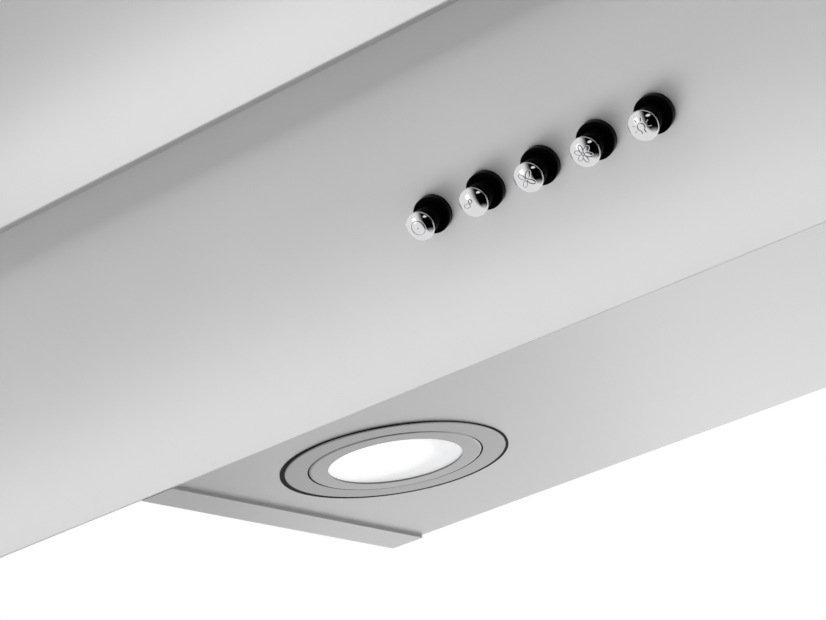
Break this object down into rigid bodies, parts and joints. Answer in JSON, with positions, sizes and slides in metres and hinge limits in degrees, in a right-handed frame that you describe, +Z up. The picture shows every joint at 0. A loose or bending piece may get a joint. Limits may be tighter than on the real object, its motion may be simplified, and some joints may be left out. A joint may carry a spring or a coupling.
{
  "type": "chimney range hood",
  "caption": "Wall-mounted cooker hood with a leaning flat front panel, a tilted control fascia with push buttons, a lamp tray and a telescopic chimney.",
  "frame": {"origin": "on the wall plane, midway between the two keyholes that the hood hangs from", "axes": "+X runs along the hood to the cook's right, +Y points into the wall, +Z is up"},
  "size_m": [0.6, 0.3689, 0.795],
  "materials": {
    "front_enamel": "satin silver-grey",
    "fascia_enamel": "satin silver-grey",
    "casing_enamel": "satin silver-grey",
    "plated_sheet": "zinc plated",
    "hinge_steel": "satin",
    "magnet_black": "matt",
    "filter_aluminium": "satin",
    "latch_plastic": "matt",
    "button_chrome": "polished",
    "button_black": "gloss",
    "switch_plastic": "matt",
    "lamp_satin": "satin",
    "lamp_bright": "polished",
    "lamp_pane": "clear",
    "seal_rubber": "matt",
    "lamp_sink": "satin",
    "spring_steel": "satin",
    "blower_plastic": "matt",
    "motor_steel": "satin",
    "collar_plastic": "matt",
    "box_plastic": "matt",
    "capacitor_case": "matt",
    "screw_steel": "zinc plated"
  },
  "bodies": {
    "casing": {"back_panel": "plated_sheet", "button_collars": "button_black", "cable_gland": "collar_plastic", "capacitor": "capacitor_case", "casing_screws": "screw_steel", "catch_magnets": "magnet_black", "control_fascia": "fascia_enamel", "filter_frame_left": "filter_aluminium", "filter_frame_right": "filter_aluminium", "filter_mesh_left": "filter_aluminium", "filter_mesh_right": "filter_aluminium", "filter_wall": "plated_sheet", "flap_pin": "hinge_steel", "hinge_brackets": "hinge_steel", "hinge_pins": "hinge_steel", "junction_box": "box_plastic", "lamp_bezel_left": "lamp_bright", "lamp_bezel_right": "lamp_bright", "lamp_can_left": "lamp_sink", "lamp_can_right": "lamp_sink", "lamp_clips": "spring_steel", "lamp_glass_left": "lamp_pane", "lamp_glass_right": "lamp_pane", "lamp_ring_left": "lamp_satin", "lamp_ring_right": "lamp_satin", "lamp_seals": "seal_rubber", "lamp_tray": "casing_enamel", "lower_chimney": "casing_enamel", "motor": "motor_steel", "motor_spider": "plated_sheet", "outlet_collar": "collar_plastic", "scroll_left": "blower_plastic", "scroll_right": "blower_plastic", "side_panel_left": "casing_enamel", "side_panel_right": "casing_enamel", "switch_block": "switch_plastic", "switch_bracket": "plated_sheet", "top_panel": "plated_sheet"},
    "panel": {"front_panel": "front_enamel", "panel_liner": "plated_sheet", "hinge_arms": "hinge_steel"},
    "wheel": {"impeller": "blower_plastic", "motor_shaft": "hinge_steel"},
    "damper_front": {"flap_front": "collar_plastic"},
    "damper_back": {"flap_back": "collar_plastic"},
    "upper_cover": {"upper_chimney": "casing_enamel", "chimney_bracket": "plated_sheet", "bracket_screws": "screw_steel"},
    "button_1": {"button_stem_1": "button_black", "button_cap_1": "button_chrome"},
    "button_2": {"button_stem_2": "button_black", "button_cap_2": "button_chrome"},
    "button_3": {"button_stem_3": "button_black", "button_cap_3": "button_chrome"},
    "button_4": {"button_stem_4": "button_black", "button_cap_4": "button_chrome"},
    "button_5": {"button_stem_5": "button_black", "button_cap_5": "button_chrome"},
    "latch_left": {"filter_latch_left": "latch_plastic"},
    "latch_right": {"filter_latch_right": "latch_plastic"}
  },
  "joints": [
    {"name": "panel_hinge", "type": "hinge", "parent": "casing", "child": "panel", "pos_m": [0, -0.3438, 0.06355], "axis": [-1, 0, 0], "range_deg": [0, 50]},
    {"name": "wheel_spin", "type": "hinge", "parent": "casing", "child": "wheel", "pos_m": [0, -0.105, -0.115], "axis": [1, 0, 0], "continuous": true},
    {"name": "damper_front_hinge", "type": "hinge", "parent": "casing", "child": "damper_front", "pos_m": [0, -0.126, 0.09], "axis": [-1, 0, 0], "range_deg": [0, 70]},
    {"name": "damper_back_hinge", "type": "hinge", "parent": "casing", "child": "damper_back", "pos_m": [0, -0.126, 0.09], "axis": [1, 0, 0], "range_deg": [0, 70]},
    {"name": "cover_slide", "type": "slide", "parent": "casing", "child": "upper_cover", "axis": [0, 0, 1], "range_m": [0, 0.28]},
    {"name": "button_1_press", "type": "slide", "parent": "casing", "child": "button_1", "axis": [0, 0.7912, 0.6115], "range_m": [0, 0.004], "stiffness_N_per_m": 300, "springref_m": -0.006},
    {"name": "button_2_press", "type": "slide", "parent": "casing", "child": "button_2", "axis": [0, 0.7912, 0.6115], "range_m": [0, 0.004], "stiffness_N_per_m": 300, "springref_m": -0.006},
    {"name": "button_3_press", "type": "slide", "parent": "casing", "child": "button_3", "axis": [0, 0.7912, 0.6115], "range_m": [0, 0.004], "stiffness_N_per_m": 300, "springref_m": -0.006},
    {"name": "button_4_press", "type": "slide", "parent": "casing", "child": "button_4", "axis": [0, 0.7912, 0.6115], "range_m": [0, 0.004], "stiffness_N_per_m": 300, "springref_m": -0.006},
    {"name": "button_5_press", "type": "slide", "parent": "casing", "child": "button_5", "axis": [0, 0.7912, 0.6115], "range_m": [0, 0.004], "stiffness_N_per_m": 300, "springref_m": -0.006},
    {"name": "latch_left_slide", "type": "slide", "parent": "casing", "child": "latch_left", "axis": [0, 0.4226, -0.9063], "range_m": [0, 0.005], "stiffness_N_per_m": 400, "springref_m": -0.005},
    {"name": "latch_right_slide", "type": "slide", "parent": "casing", "child": "latch_right", "axis": [0, 0.4226, -0.9063], "range_m": [0, 0.005], "stiffness_N_per_m": 400, "springref_m": -0.005}
  ]
}
